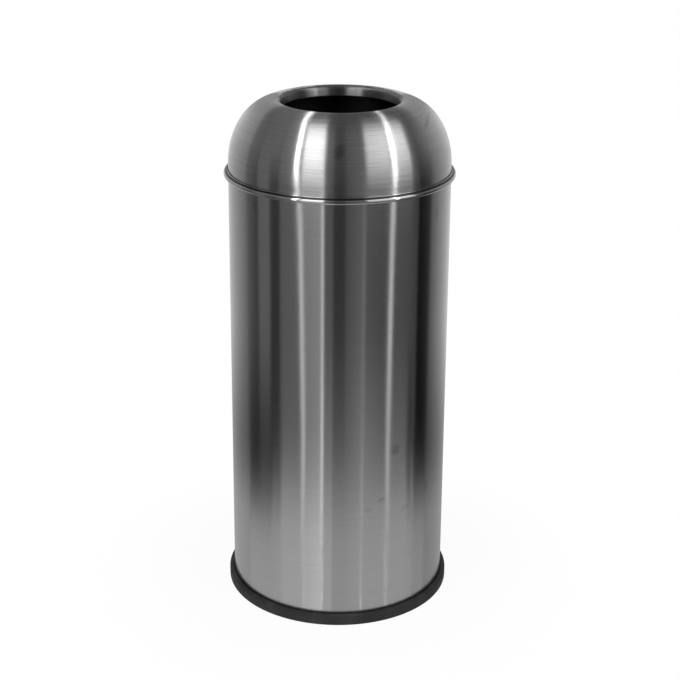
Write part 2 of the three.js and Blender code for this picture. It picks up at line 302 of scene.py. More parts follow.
def grain(nodes, place, around, across, detail=2.0, seed=0.0):
    """Noise in rings: slow round the axis and fast along the section, in features per metre."""
    radius = length_in(nodes, place, (1, 1, 0))
    stretched = nodes.add("ShaderNodeMapping", None, {"Vector": place, "Scale": (around, around, across)})
    return nodes.add(
        "ShaderNodeTexNoise", {"noise_dimensions": "4D"},
        {"Vector": stretched, "W": radius * across + seed, "Scale": 1.0, "Detail": detail},
    )


# %% [markdown]
# Fingers have left a few spots on the front. A spot is an ellipse whose edge is made ragged by noise. Its
# middle is given by X and Z alone, so it would show at the back as well, and is faded out there.

# %% Finger marks
RAGGED = 0.8
FRONT, BACK = -0.02, 0.0  # places along Y between which a mark fades out


def smudge(nodes, place, x, z, width, height, lean, strength):
    """A soft spot: its strength in the middle and 0 outside."""
    moved = nodes.add(
        "ShaderNodeMapping", {"vector_type": "TEXTURE"},
        {
            "Vector": place, "Location": (x, 0, z), "Rotation": (0, math.radians(lean), 0),
            "Scale": (width, 1, height),
        },
    )
    noise = nodes.add("ShaderNodeTexNoise", None, {"Vector": place, "Scale": 260.0, "Detail": 3.0})
    edge = length_in(nodes, moved, (1, 0, 1)) + RAGGED * (noise - 0.5)
    depth = nodes.add("ShaderNodeSeparateXYZ", None, {0: place}, out="Y")
    return nodes.span(edge, 0.3, 1.0, strength, 0.0) * nodes.span(depth, FRONT, BACK, 1.0, 0.0)


# each mark: x and z of its middle, half its width and height, its lean in degrees, and its strength
BODY_MARKS = [
    (-108 * MM, 583 * MM, 5 * MM, 13 * MM, -20, 0.2), (127 * MM, 571 * MM, 4 * MM, 12 * MM, 0, 0.2),
    (77 * MM, 253 * MM, 9 * MM, 10 * MM, 30, 0.35), (59 * MM, 183 * MM, 8 * MM, 5 * MM, -25, 0.16),
    (41 * MM, 171 * MM, 9 * MM, 6 * MM, -5, 0.12), (91 * MM, 163 * MM, 8 * MM, 5 * MM, -35, 0.14),
    (121 * MM, 180 * MM, 4 * MM, 10 * MM, 0, 0.14),
]
DOME_MARKS = [
    (0, 667 * MM, 9 * MM, 13 * MM, 15, 0.5), (113 * MM, 686 * MM, 5 * MM, 9 * MM, 25, 0.3),
]
print(len(BODY_MARKS), "marks on the body and", len(DOME_MARKS), "on the dome")

# %% [markdown]
# The finish puts these together. The finest noise is the scratches themselves and feeds the bump. A
# coarser one changes the shade a little from scratch to scratch, and a third one the roughness. Then
# come the marks, painted shade in the gap under the dome, the inside, which is dull and darkened as
# painted shade, and the funnel of the mouth, which is rougher and painted darker as shade.

# %% Stainless
STEEL_COLOUR = 0.56
MARK_COLOUR = 0.3 * STEEL_COLOUR
# Painted shade in the gap between the dome's foot and the body's rim: a near-black colour, and how softly
# it fades in.
GAP_SHADE_COLOUR = 0.02
GAP_SHADE_EDGE = 0.3 * MM
# Inside these radii the funnel of the mouth is rougher, and its colour is darkened as painted shade.
FUNNEL_RADIUS, FUNNEL_EDGE = 79 * MM, 84 * MM
FUNNEL_SHADE_COLOUR = 0.1


def stainless(name, gloss, spread, depth, contrast, gap_shade_heights, inner, marks):
    """Brushed sheet. Gloss is its roughness, spread how much that varies, depth that of the scratches and
    contrast how much they show. The pair of heights is the band painted near black as shade in the gap
    under the dome, and inner is the inside's colour: a dull sheet, darkened further as painted shade."""
    material = bpy.data.materials.new(name)
    nodes = Nodes(material)
    place = nodes.add("ShaderNodeTexCoord", out="Object")
    scratches = grain(nodes, place, around=14, across=2600, detail=1.0)
    lines = grain(nodes, place, around=12, across=1100, detail=3.0, seed=2.0)
    streaks = grain(nodes, place, around=7, across=420, detail=2.0, seed=5.0)
    clouds = nodes.add("ShaderNodeTexNoise", None, {"Vector": place, "Scale": 9.0, "Detail": 3.0})
    rough = gloss + spread * (streaks - 0.5) + 0.03 * (clouds - 0.5)
    dark, light = grey(STEEL_COLOUR * (1 - contrast)), grey(STEEL_COLOUR * (1 + contrast))
    shade = nodes.mix(nodes.span(lines, 0.3, 0.7), dark, light)

    worn = smudge(nodes, place, *marks[0])
    for mark in marks[1:]:
        worn = worn.largest(smudge(nodes, place, *mark))
    rough = rough + 0.06 * worn
    shade = nodes.mix(worn, shade, grey(MARK_COLOUR))

    height = nodes.add("ShaderNodeSeparateXYZ", None, {0: place}, out="Z")
    # Painted shade: a band of heights in the gap where the dome sits on the rim is made near black.
    low, high = gap_shade_heights
    painted_gap_shade = nodes.span(height, low, low + GAP_SHADE_EDGE) * nodes.span(height, high - GAP_SHADE_EDGE, high, 1.0, 0.0)
    shade = nodes.mix(painted_gap_shade, shade, grey(GAP_SHADE_COLOUR))

    # The inside is rougher and darker: partly a dull, unground sheet, and partly painted shade.
    inside = nodes.add("ShaderNodeAttribute", {"attribute_name": "inside"}, out="Fac")
    rough = rough + 0.4 * inside
    shade = nodes.mix(inside, shade, grey(inner))

    # The mouth's funnel: rougher, and painted darker as shade.
    funnel = nodes.span(length_in(nodes, place, (1, 1, 0)), FUNNEL_RADIUS, FUNNEL_EDGE, 1.0, 0.0)
    rough = rough + 0.12 * funnel
    shade = nodes.mix(funnel * 0.7, shade, grey(FUNNEL_SHADE_COLOUR))

    bump = nodes.add(
        "ShaderNodeBump", None, {"Strength": 1.0, "Distance": depth, "Height": scratches}, out="Normal"
    )
    shader = nodes.add(
        "ShaderNodeBsdfPrincipled", {"distribution": "MULTI_GGX"},
        {
            "Base Color": shade, "Metallic": 1.0, "Roughness": rough, "Normal": bump,
            "Anisotropic": 1.0, "Anisotropic Rotation": 0.25,
        },
    )
    nodes.add("ShaderNodeOutputMaterial", None, {"Surface": shader})
    return material


# Both finishes paint shade into the gap where the dome sits on the rim: on top of the body's roll, and on
# the lower part of the dome's foot.
body_steel = stainless(
    "body_steel", gloss=0.155, spread=0.05, depth=0.02 * MM, contrast=0.02, gap_shade_heights=(607.7 * MM, 620 * MM),
    inner=0.28, marks=BODY_MARKS,
)
# The dome's inside is darkened nearly to black as painted shade; the body's, above, only to a dull grey.
dome_steel = stainless(
    "dome_steel", gloss=0.21, spread=0.15, depth=0.035 * MM, contrast=0.07, gap_shade_heights=(600 * MM, 609.3 * MM),
    inner=0.05, marks=DOME_MARKS,
)
print("made", body_steel.name, "and", dome_steel.name)

# %% [markdown]
# ## The black ring
#
# A moulded rubber channel grips the edge of the tube. It is dark grey rather than black, because its
# matt skin scatters light, and it has picked up a little dust.


# %% Black rubber
def black_rubber():
    material = bpy.data.materials.new("ring_rubber")
    nodes = Nodes(material)
    place = nodes.add("ShaderNodeTexCoord", out="Object")
    skin = nodes.add("ShaderNodeTexNoise", None, {"Vector": place, "Scale": 900.0, "Detail": 3.0})
    dust = nodes.add("ShaderNodeTexNoise", None, {"Vector": place, "Scale": 26.0, "Detail": 5.0})
    shade = nodes.mix(nodes.span(dust, 0.42, 0.75), grey(0.014), grey(0.03))
    bump = nodes.add(
        "ShaderNodeBump", None, {"Strength": 0.25, "Distance": 0.1 * MM, "Height": skin}, out="Normal"
    )
    shader = nodes.add(
        "ShaderNodeBsdfPrincipled", None,
        {"Base Color": shade, "Roughness": 0.52 + 0.2 * dust, "Normal": bump},
    )
    nodes.add("ShaderNodeOutputMaterial", None, {"Surface": shader})
    return material


rubber = black_rubber()
print("made", rubber.name)

# %% [markdown]
# ## Galvanised sheet and zinc plated wire
#
# The liner, the base plate and the dome's collar never show from outside, so they are plain galvanised
# sheet. Zinc freezes in flat crystals that tilt the light a little differently from one to the next:
# cells of a Voronoi texture, each with its own shade and gloss.


# %% Galvanised sheet
def galvanised_sheet():
    material = bpy.data.materials.new("zinc_sheet")
    nodes = Nodes(material)
    place = nodes.add("ShaderNodeTexCoord", out="Object")
    wander = nodes.add(
        "ShaderNodeTexNoise", None, {"Vector": place, "Scale": 60.0, "Detail": 2.0}, out="Color"
    )
    bent = nodes.add(
        "ShaderNodeVectorMath", {"operation": "MULTIPLY_ADD"},
        {0: wander, 1: (0.012, 0.012, 0.012), 2: place},
    )
    cells = nodes.add("ShaderNodeTexVoronoi", None, {"Vector": bent, "Scale": 70.0}, out="Color")
    crystal = nodes.add("ShaderNodeSeparateColor", None, {0: cells}, out="Red")
    dull = nodes.add("ShaderNodeTexNoise", None, {"Vector": place, "Scale": 14.0, "Detail": 4.0})
    shade = nodes.mix(crystal, (0.42, 0.44, 0.45, 1), (0.58, 0.60, 0.61, 1))
    shade = nodes.mix(nodes.span(dull, 0.4, 0.7) * 0.5, shade, (0.40, 0.41, 0.41, 1))
    rough = 0.36 + 0.14 * crystal + 0.1 * dull
    bump = nodes.add(
        "ShaderNodeBump", None, {"Strength": 0.2, "Distance": 0.1 * MM, "Height": crystal}, out="Normal"
    )
    shader = nodes.add(
        "ShaderNodeBsdfPrincipled", None,
        {"Base Color": shade, "Metallic": 1.0, "Roughness": rough, "Normal": bump},
    )
    nodes.add("ShaderNodeOutputMaterial", None, {"Surface": shader})
    return material


def plated_wire():
    material = bpy.data.materials.new("zinc_wire")
    nodes = Nodes(material)
    place = nodes.add("ShaderNodeTexCoord", out="Object")
    film = nodes.add("ShaderNodeTexNoise", None, {"Vector": place, "Scale": 120.0, "Detail": 4.0})
    shade = nodes.mix(film, (0.50, 0.51, 0.52, 1), (0.66, 0.67, 0.68, 1))
    shader = nodes.add(
        "ShaderNodeBsdfPrincipled", None,
        {"Base Color": shade, "Metallic": 1.0, "Roughness": 0.22 + 0.16 * film},
    )
    nodes.add("ShaderNodeOutputMaterial", None, {"Surface": shader})
    return material


zinc = galvanised_sheet()
wire = plated_wire()
print("made", zinc.name, "and", wire.name)

# %% [markdown]
# ## The body
#
# The body is one sheet, rolled into a tube. Its upper edge is rolled outwards round nothing, which
# makes it stiff and safe to touch. The line goes straight up, and then almost all the way round the
# roll: the cut edge stops just short of the wall.

# %% Body tube
RIM_TURN = 308  # degrees

tube = Pen(BODY_WALL, BODY_FOOT).to(BODY_WALL, RIM_HEIGHT)
tube.round(BODY_WALL + RIM_ROLL, RIM_HEIGHT, -RIM_TURN, steps=28)
piece(
    tube.turn(), "body_tube", "body", body_steel, replaces=["body_shell"], sheet=BODY_SHEET
)

# %% [markdown]
# The tube is closed at the back by a lap inside and a weld that was ground flush outside. The lap is a
# short arc of sheet, and the weld is a flat bead that is barely proud of the wall.

# %% Seam at the back
LAP_WIDTH = 10 * MM
LAP_FOOT, LAP_TOP = 25.5 * MM, 567.5 * MM
BODY_BORE = BODY_WALL - BODY_SHEET / 2
LAP_RADIUS = BODY_BORE - BODY_SHEET / 2
lap_turn = math.degrees(LAP_WIDTH / BODY_BORE)

lap = Pen(LAP_RADIUS, LAP_FOOT).to(LAP_RADIUS, LAP_TOP)
lap_shape = lap.turn(lap_turn, steps=6, start=90 - lap_turn / 2)
piece(lap_shape, "seam_lap", "body", body_steel, sheet=BODY_SHEET)

WELD_HALF_WIDTH = 0.9 * MM
WELD_PROUD = 0.12 * MM
WELD_FOOT, WELD_TOP = 15 * MM, 600.5 * MM

bead = bmesh.new()
bmesh.ops.create_circle(bead, cap_ends=True, segments=16, radius=WELD_HALF_WIDTH)
bmesh.ops.scale(bead, verts=bead.verts, vec=(1, WELD_PROUD * 2 / WELD_HALF_WIDTH, 1))
weld_back = BODY_WALL + BODY_SHEET / 2 - WELD_PROUD
bmesh.ops.translate(bead, verts=bead.verts, vec=(0, weld_back, WELD_FOOT))
grown = bmesh.ops.extrude_face_region(bead, geom=bead.faces[:])
top = [v for v in grown["geom"] if isinstance(v, bmesh.types.BMVert)]
bmesh.ops.translate(bead, verts=top, vec=(0, 0, WELD_TOP - WELD_FOOT))
bmesh.ops.recalc_face_normals(bead, faces=bead.faces)
piece(bead, "seam_weld", "body", body_steel)

# %% [markdown]
# ## The base plate and the ring
#
# The plate closes the foot of the tube. A step pressed into it makes it stiff, and its edge is bent
# down inside the tube. The ring is a moulded channel, so its section is a closed line, and it needs no
# thickness. Its upper lip is rounded on both sides, and between it and the steel there is a dark gap.

# %% Base plate
PLATE_SHEET = 1 * MM
PLATE_HEIGHT = 19 * MM
PLATE_BEND = 3 * MM
PLATE_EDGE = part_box("base_plate")[1].x - PLATE_SHEET / 2
RIB_RADIUS, RIB_RUN, RIB_DROP = 95 * MM, 7 * MM, 3 * MM

plate = Pen(0, PLATE_HEIGHT - RIB_DROP).to(RIB_RADIUS - RIB_RUN, PLATE_HEIGHT - RIB_DROP)
plate.to(RIB_RADIUS, PLATE_HEIGHT).to(PLATE_EDGE - PLATE_BEND, PLATE_HEIGHT)
plate.round(PLATE_EDGE - PLATE_BEND, PLATE_HEIGHT - PLATE_BEND, -90, steps=6).to(PLATE_EDGE, BODY_FOOT)
piece(
    plate.turn(), "foot_plate", "body", zinc, replaces=["base_plate"], sheet=PLATE_SHEET
)

# %% Base ring
RING_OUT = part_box("base_ring")[1].x
RING_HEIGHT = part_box("base_ring")[1].z
RING_IN = 143.6 * MM
GROOVE_OUT, GROOVE_IN = 150.3 * MM, 147.6 * MM
GROOVE_FLOOR = 3.2 * MM
INNER_HEIGHT = 10 * MM
EDGE = 3.2 * MM
LIP = 1.0 * MM
FOOT_EDGE = 1.5 * MM

ring = Pen(RING_IN, 0).to(RING_OUT - FOOT_EDGE, 0)
ring.round(RING_OUT - FOOT_EDGE, FOOT_EDGE, 90, steps=4)
ring.to(RING_OUT, RING_HEIGHT - EDGE).round(RING_OUT - EDGE, RING_HEIGHT - EDGE, 90, steps=8)
ring.to(GROOVE_OUT + LIP, RING_HEIGHT).round(GROOVE_OUT + LIP, RING_HEIGHT - LIP, 90, steps=4)
ring.to(GROOVE_OUT, GROOVE_FLOOR).to(GROOVE_IN, GROOVE_FLOOR).to(GROOVE_IN, INNER_HEIGHT)
ring.to(RING_IN, INNER_HEIGHT).to(RING_IN, 0)
piece(ring.turn(), "base_channel", "body", rubber, replaces=["base_ring"])

# %% [markdown]
# ## The dome
#
# The dome is one spun sheet. Its lower edge is rolled outwards into a small bead that sits on the
# body's rim. The skirt rises a little and then curves over into the crown, which curls down into the
# mouth and ends in a hem. The curve is slightly fuller than a quarter of an ellipse, so each point of it
# is placed by the superellipse's formula.

# %% Dome
DOME_SHEET = 0.8 * MM
FOOT_ROLL = 1.0 * MM
FOOT_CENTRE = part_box("dome_shell")[0].z + FOOT_ROLL + DOME_SHEET / 2
FOOT_OPEN = 40  # degrees above level at which the roll's cut edge stands
SKIRT = 6.5 * MM
RISE = 87.3 * MM
FULLNESS = 2.05
CROWN_RADIUS = 85.6 * MM
CROWN_ROLL = 6 * MM
MOUTH_SLOPE = 78  # degrees
MOUTH_WALL = 7 * MM
HEM, HEM_TURN = 1.2 * MM, 190
CURVE_STEPS = 40

SPRING = FOOT_CENTRE + SKIRT
cut = math.radians(FOOT_OPEN)
foot_axis = BODY_WALL + FOOT_ROLL
dome = Pen(foot_axis + FOOT_ROLL * math.cos(cut), FOOT_CENTRE + FOOT_ROLL * math.sin(cut))
dome.round(foot_axis, FOOT_CENTRE, -180 - FOOT_OPEN, steps=16).to(BODY_WALL, SPRING)
for step in range(1, CURVE_STEPS + 1):
    along = step / CURVE_STEPS * math.pi / 2
    inward = 1 - max(math.cos(along), 0) ** (2 / FULLNESS)
    upward = math.sin(along) ** (2 / FULLNESS)
    dome.to(BODY_WALL - (BODY_WALL - CROWN_RADIUS) * inward, SPRING + RISE * upward)
dome.round(CROWN_RADIUS, SPRING + RISE - CROWN_ROLL, MOUTH_SLOPE, steps=12)
mouth = math.radians(MOUTH_SLOPE)
lip_radius = dome.tip.co.x - MOUTH_WALL * math.cos(mouth)
lip_height = dome.tip.co.z - MOUTH_WALL * math.sin(mouth)
dome.to(lip_radius, lip_height)
dome.round(lip_radius + HEM * math.sin(mouth), lip_height - HEM * math.cos(mouth), HEM_TURN, steps=12)
piece(
    dome.turn(), "dome_cover", "dome", dome_steel, replaces=["dome_shell"], sheet=DOME_SHEET
)

# %% [markdown]
# Inside the dome's foot a collar is welded. It drops into the tube, tapers in at its lower edge so that
# it finds its way, and keeps the dome from sliding off.

# %% Collar
COLLAR_SHEET = 0.8 * MM
collar_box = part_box("dome_collar")
WELDED_RADIUS = collar_box[1].x - COLLAR_SHEET / 2
GUIDE_RADIUS = 148.1 * MM
LEAD_IN = 3.5 * MM
TAPER = 1 * MM

collar = Pen(WELDED_RADIUS, collar_box[1].z).to(WELDED_RADIUS, FOOT_CENTRE)
collar.to(GUIDE_RADIUS, RIM_HEIGHT + RIM_ROLL - COLLAR_SHEET / 2)
collar.to(GUIDE_RADIUS, collar_box[0].z + LEAD_IN).to(GUIDE_RADIUS - TAPER, collar_box[0].z)
piece(
    collar.turn(), "guide_collar", "dome", zinc, replaces=["dome_collar"], sheet=COLLAR_SHEET
)

# %% [markdown]
# ## The liner
#
# The liner is a bucket that tapers slightly, so that it lifts out easily. Two beads pressed outwards
# make its thin wall stiff, and its rim is rolled round a wire. The bottom is a disc whose edge is turned
# up round the wall.

# %% Liner wall
LINER_SHEET = 0.6 * MM
LINER_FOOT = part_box("liner_wall")[0].z
LINER_RIM = 552 * MM
LINER_FOOT_RADIUS = 125.75 * MM
LINER_RIM_RADIUS = 129.18 * MM
RIM_WIRE = 2.3 * MM
LINER_ROLL, LINER_TURN = 2.9 * MM, 312
BEAD_DEPTH = 2.2 * MM
BEAD_HALF = 5.5 * MM
bead_radius = (BEAD_HALF ** 2 + BEAD_DEPTH ** 2) / (2 * BEAD_DEPTH)
bead_turn = 2 * math.degrees(math.asin(BEAD_HALF / bead_radius))


def liner_radius(height):
    share = (height - LINER_FOOT) / (LINER_RIM - LINER_FOOT)
    return LINER_FOOT_RADIUS + share * (LINER_RIM_RADIUS - LINER_FOOT_RADIUS)


bucket = Pen(liner_radius(LINER_FOOT), LINER_FOOT)
for share in (1 / 3, 2 / 3):
    height = LINER_FOOT + share * (LINER_RIM - LINER_FOOT)
    bucket.to(liner_radius(height), height - BEAD_HALF)
    bucket.round(liner_radius(height) - bead_radius + BEAD_DEPTH, height, bead_turn, steps=10)
bucket.to(LINER_RIM_RADIUS, LINER_RIM)
bucket.round(LINER_RIM_RADIUS + LINER_ROLL, LINER_RIM, -LINER_TURN, steps=24)
piece(
    bucket.turn(), "liner_bucket", "liner", zinc, replaces=["liner_wall"], sheet=LINER_SHEET
)

# %% Liner bottom and rim wire
FLANGE_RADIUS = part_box("liner_bottom")[1].x - LINER_SHEET / 2
LINER_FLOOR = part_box("liner_bottom")[0].z + LINER_SHEET / 2
FLANGE_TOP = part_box("liner_bottom")[1].z
CORNER = 0.7 * MM

disc = Pen(0, LINER_FLOOR).to(FLANGE_RADIUS - CORNER, LINER_FLOOR)
disc.round(FLANGE_RADIUS - CORNER, LINER_FLOOR + CORNER, 90, steps=5).to(FLANGE_RADIUS, FLANGE_TOP)
piece(
    disc.turn(), "liner_disc", "liner", zinc, replaces=["liner_bottom"], sheet=LINER_SHEET
)

hoop = Pen(LINER_RIM_RADIUS + LINER_ROLL + RIM_WIRE, LINER_RIM)
hoop.round(LINER_RIM_RADIUS + LINER_ROLL, LINER_RIM, 360, steps=16)
piece(hoop.turn(), "rim_hoop", "liner", wire, replaces=["liner_rim_wire"])

# %% [markdown]
# ## Ears, rivets and bail
#
# Each ear is a strip bent over the end of the bail like a bridge and held by two rivets. The CAD already
# has the ear's shape, with its holes, so it stays and gets the galvanised finish. A rivet's head was
# struck round: a shallow cap on a straight shank, drawn along Z, turned, and then laid on its side.

# %% Ears and rivets
RIVET = 2 * MM
HEAD, HEAD_HEIGHT = 3.8 * MM, 1.4 * MM
cap_radius = (HEAD ** 2 + HEAD_HEIGHT ** 2) / (2 * HEAD_HEIGHT)
cap_turn = math.degrees(math.asin(HEAD / cap_radius))
RIVET_INSIDE, RIVET_OUTSIDE = 127.93 * MM, 131.58 * MM
RIVET_APART = 15.6 * MM  # from the middle of the ear, measured round the wall
LINER_AT_EAR = 129.68 * MM

for side, start in (("right", 0), ("left", 180)):
    ear = frame["nodes"][f"liner_ear_{side}"]
    ear.data.materials.clear()
    ear.data.materials.append(zinc)
    for number, direction in ((1, -1), (2, 1)):
        turned = direction * math.degrees(RIVET_APART / LINER_AT_EAR)
        rivet = Pen(0, RIVET_INSIDE - HEAD_HEIGHT)
        rivet.round(0, RIVET_INSIDE - HEAD_HEIGHT + cap_radius, cap_turn, steps=6)
        rivet.to(RIVET, RIVET_INSIDE).to(RIVET, RIVET_OUTSIDE).to(HEAD, RIVET_OUTSIDE)
        rivet.round(0, RIVET_OUTSIDE + HEAD_HEIGHT - cap_radius, cap_turn, steps=6)
        shape = rivet.turn(steps=24)
        lay = Matrix.Rotation(math.radians(90), 3, "Y")
        lay = Matrix.Rotation(math.radians(start + turned), 3, "Z") @ lay
        bmesh.ops.rotate(shape, verts=shape.verts, cent=(0, 0, 0), matrix=lay)
        bmesh.ops.translate(shape, verts=shape.verts, vec=(0, 0, PIVOT.z))
        piece(
            shape, f"rivet_{side}_{number}", "liner", wire, replaces=[f"ear_rivet_{side}_{number}"]
        )

# %% [markdown]
# The bail is one wire. Its section starts as a circle at one end, and is then carried along the wire:
# straight out through the ear, round a tight bend, round the bow, and back in the same way. Both ends
# are hammered into heads, so that they can't slip out. It is drawn flat and tilted at the end.

# %% Bail
BAIL_WIRE = 2 * MM
BAIL_END = 134.68 * MM
BAIL_HALF = 141.68 * MM
BAIL_BEND = 3.6 * MM
BAIL_TILT = 25.358  # degrees
BAIL_HEAD, BAIL_HEAD_DEPTH, BAIL_HEAD_EDGE = 3.4 * MM, 1.4 * MM, 0.3 * MM

bail = bmesh.new()
across = Matrix.Rotation(math.radians(90), 4, "Y")
end = Matrix.Translation((BAIL_END, 0, 0)) @ across
bmesh.ops.create_circle(bail, segments=20, radius=BAIL_WIRE, matrix=end)
section = bail.verts[:] + bail.edges[:]


def drawn_on(section, distance):
    """Carries the section straight on along X, and gives back the new one."""
    edges = [e for e in section if isinstance(e, bmesh.types.BMEdge)]
    grown = bmesh.ops.extrude_edge_only(bail, edges=edges)["geom"]
    points = [v for v in grown if isinstance(v, bmesh.types.BMVert)]
    bmesh.ops.translate(bail, verts=points, vec=(distance, 0, 0))
    circle = [e for e in grown if isinstance(e, bmesh.types.BMEdge) and all(v in points for v in e.verts)]
    return points + circle


def bent(section, x, degrees, steps):
    """Carries the section round a centre in the wire's plane, and gives back the new one."""
    spun = bmesh.ops.spin(
        bail, geom=section, cent=(x, -BAIL_BEND, 0), axis=(0, 0, 1), angle=math.radians(degrees),
        steps=steps,
    )
    return [g for g in spun["geom_last"] if not isinstance(g, bmesh.types.BMFace)]


straight = BAIL_HALF - BAIL_BEND
section = drawn_on(section, straight - BAIL_END)
section = bent(section, straight, -90, 10)
section = bent(section, 0, -180, 96)
section = bent(section, -straight, -90, 10)
section = drawn_on(section, straight - BAIL_END)
bmesh.ops.holes_fill(bail, edges=[e for e in bail.edges if e.is_boundary], sides=0)
for side in (-1, 1):
    head = bmesh.ops.create_cone(
        bail, cap_ends=True, segments=24, radius1=BAIL_HEAD, radius2=BAIL_HEAD, depth=BAIL_HEAD_DEPTH,
        matrix=Matrix.Translation((side * BAIL_END, 0, 0)) @ across,
    )
    corners = set(head["verts"])
    rims = [
        e for e in bail.edges
        if corners.issuperset(e.verts) and any(len(f.verts) > 4 for f in e.link_faces)
    ]
    bmesh.ops.bevel(
        bail, geom=rims, offset=BAIL_HEAD_EDGE, segments=2, affect="EDGES", profile=0.5, material=-1
    )
bmesh.ops.recalc_face_normals(bail, faces=bail.faces)
bmesh.ops.rotate(
    bail, verts=bail.verts, cent=(0, 0, 0), matrix=Matrix.Rotation(math.radians(BAIL_TILT), 3, "X")
)
bmesh.ops.translate(bail, verts=bail.verts, vec=PIVOT)
piece(bail, "wire_bail", "handle", wire, replaces=["bail"])

# %% [markdown]
# ## The studio
#
# A polished cylinder shows whatever stands round it, so photographing one is mostly a matter of what is
# put there. Three lamps and the world light the bin evenly. The floor and the world are white where the
# camera or the steel sees them, and the floor keeps the bin's soft shadow.

# %% Floor and world
FLOOR_SHADE = 0.62
FLOOR_HALF = 12  # metres
SHADOW_FROM, SHADOW_TO = 0.2, 0.42  # distances from the axis at which the shadow fades
WHITE_FROM, WHITE_TO = 0.45, 0.9  # and at which the steel sees the floor as white


def light_path(nodes, *kinds):
    """1 for the kinds of ray that are named, and 0 for the others."""
    seen = None
    for kind in kinds:
        ray = nodes.add("ShaderNodeLightPath", out=kind)
        seen = ray if seen is None else seen.largest(ray)
    return seen


floor_finish = bpy.data.materials.new("floor")
nodes = Nodes(floor_finish)
spot = nodes.add("ShaderNodeTexCoord", out="Object")
away = nodes.add("ShaderNodeVectorMath", {"operation": "LENGTH"}, {0: spot}, out="Value")
paper = nodes.add("ShaderNodeBsdfDiffuse", None, {"Color": grey(FLOOR_SHADE)})
glow = nodes.add("ShaderNodeEmission", None, {"Color": grey(1.0), "Strength": 1.0})
in_view = light_path(nodes, "Is Camera Ray") * nodes.span(away, SHADOW_FROM, SHADOW_TO, 0.94, 1.0)
in_metal = light_path(nodes, "Is Glossy Ray", "Is Transmission Ray")
in_metal = in_metal * nodes.span(away, WHITE_FROM, WHITE_TO)
surface = nodes.add("ShaderNodeMixShader", None, {0: in_view.largest(in_metal), 1: paper, 2: glow})
nodes.add("ShaderNodeOutputMaterial", None, {"Surface": surface})

floor_shape = bmesh.new()
bmesh.ops.create_grid(floor_shape, x_segments=8, y_segments=8, size=FLOOR_HALF)
floor_mesh = bpy.data.meshes.new("floor")
floor_shape.to_mesh(floor_mesh)
floor_shape.free()
floor_mesh.materials.append(floor_finish)
floor = bpy.data.objects.new("floor", floor_mesh)
bpy.context.scene.collection.objects.link(floor)

world = bpy.data.worlds.new("studio")
bpy.context.scene.world = world
nodes = Nodes(world)
white = light_path(nodes, "Is Camera Ray", "Is Glossy Ray", "Is Transmission Ray")
level = nodes.mix(white, grey(0.55), grey(1.0))
sky = nodes.add("ShaderNodeBackground", None, {"Color": level, "Strength": 1.0})
nodes.add("ShaderNodeOutputWorld", None, {"Surface": sky})
print("floor and world are white to the camera")

# %% [markdown]
# The bands on the steel come from cards that stand round the bin and are seen only in reflections: two
# narrow strips of light, softer panels beside them, and dark ones that give the steel its depth.
#
# Where must a card stand to show in a given band of the bin? `mirrored` follows the camera's ray to the
# bin and on from there, and the card is laid where the ray has gone on for REACH. So each card lies on
# the floor at first, then stands beside the bin, and then arches over it.

# %% Where the bin looks
REACH = 0.42
CLEAR = 0.002  # of a card above the floor


def between(value, low, high):
    """0 at low and 1 at high."""
    return min(max((value - low) / (high - low), 0), 1)


def mirrored(turn, along, reach):
    """The place that the camera sees in the bin, a given distance away.

    Along runs up the section: 0 is the foot, 1 the dome's foot, 2 its crown, and after that the mouth."""
    arc = math.pi / 2 * between(along, 1, 2)
    curl = math.pi / 2 * max(along - 2, 0)
    radius = CROWN_RADIUS + (BODY_WALL - CROWN_RADIUS) * math.cos(arc) - CROWN_ROLL * math.sin(curl)
    height = SPRING * min(along, 1) + RISE * math.sin(arc) - CROWN_ROLL * (1 - math.cos(curl))
    tilt = math.atan2(math.sin(arc) / RISE, math.cos(arc) / (BODY_WALL - CROWN_RADIUS)) + curl
    outward = Vector((math.sin(math.radians(turn)), -math.cos(math.radians(turn)), 0))
    upward = Vector((0, 0, 1))
    place = outward * radius + upward * height
    normal = outward * math.cos(tilt) + upward * math.sin(tilt)
    ray = (place - CAMERA_PLACE).normalized().reflect(normal)
    if ray.z < 0:
        reach = min(reach, max(height - CLEAR, 0) / -ray.z)
    return place + ray * reach


print("the middle of the body shows", [round(v, 3) for v in mirrored(0, 0.5, REACH)])

# %% Cards
card_finish = bpy.data.materials.new("card")
nodes = Nodes(card_finish)
shown = nodes.add("ShaderNodeAttribute", {"attribute_name": "glow"}, out="Fac")
light = nodes.add("ShaderNodeEmission", None, {"Color": shown, "Strength": 1.0})
nodes.add("ShaderNodeOutputMaterial", None, {"Surface": light})

LENGTH = 2.12  # of a card, along the section
COLUMN, ROWS = 1.5, 72  # degrees to a column, and rows along a card
FLOOR_TO_SIDE = (0.25, 0.37)
LOW_TO_SIDE = (0.42, 0.64)
SIDE_TO_TOP = (0.97, 1.35)
TOP_TO_CROWN = (1.56, 1.76)
CROWN_TO_BEHIND = (2.0, 2.04)
BEHIND = 0.4  # brightness past the crown
DRIFT, DRIFTING = 0.12, (1.5, 1.85)  # share by which a card turns outwards, and where


